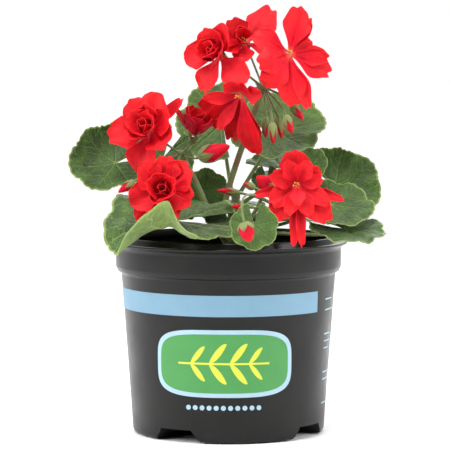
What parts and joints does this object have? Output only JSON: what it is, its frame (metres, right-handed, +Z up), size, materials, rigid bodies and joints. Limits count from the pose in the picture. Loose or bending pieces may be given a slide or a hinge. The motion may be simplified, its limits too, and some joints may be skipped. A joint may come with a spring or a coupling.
{
  "type": "potted geranium",
  "caption": "Red zonal geranium with scalloped leaves, open double flowers and buds, growing in a round black nursery pot with a flared lip and a footed base.",
  "frame": {"origin": "centre of the circle the pot stands on, on the ground plane", "axes": "+Z up along the pot's axis, -Y towards the side of the pot with the printed label, +X to the right as seen from there"},
  "size_m": [0.2191, 0.2073, 0.2988],
  "materials": {
    "black_plastic": "moulded polypropylene, satin with a glossier lip",
    "potting_mix": "damp peat with white specks, matt",
    "stem": "half-woody, finely hairy",
    "leaf": "soft, finely hairy leaf",
    "stalk": "finely hairy green stalk",
    "petal": "velvety translucent petal",
    "bud": "velvety bud with green sepals"
  },
  "bodies": {
    "root": {"pot": "black_plastic", "potting_mix": "potting_mix", "stem": "stem", "leaf_front_left": "leaf", "leaf_far_left": "leaf", "leaf_mid_left": "leaf", "leaf_back_left": "leaf", "leaf_back_right": "leaf", "leaf_right_behind": "leaf", "leaf_right_small": "leaf", "leaf_right_tall": "leaf", "leaf_right_low": "leaf", "leaf_right_rim": "leaf", "leaf_small_front": "leaf", "leaf_centre_light": "leaf", "leaf_centre_dark": "leaf", "leaf_centre_back": "leaf", "leaf_rear": "leaf", "leaf_rear_left": "leaf", "leaf_rear_right": "leaf", "flower_stalk_top": "stalk", "flower_stalk_left": "stalk", "flower_stalk_right": "stalk", "floret_top_left": "petal", "floret_top_back": "petal", "floret_top_right": "petal", "floret_drooping": "petal", "floret_half_open": "petal", "floret_left": "petal", "floret_front_left": "petal", "floret_front_right": "petal", "calyx_top_left": "stalk", "calyx_top_back": "stalk", "calyx_top_right": "stalk", "calyx_drooping": "stalk", "calyx_half_open": "stalk", "calyx_left": "stalk", "calyx_front_left": "stalk", "calyx_front_right": "stalk", "bud_left_large": "bud", "bud_right_upper": "bud", "bud_right_lower": "bud", "bud_spear_left": "bud", "bud_spear_right": "bud", "bud_green": "bud", "bud_behind_left": "bud", "bud_hanging_1": "bud", "bud_hanging_2": "bud", "bud_hanging_3": "bud", "bud_hanging_4": "bud", "bud_hanging_5": "bud"}
  },
  "joints": []
}
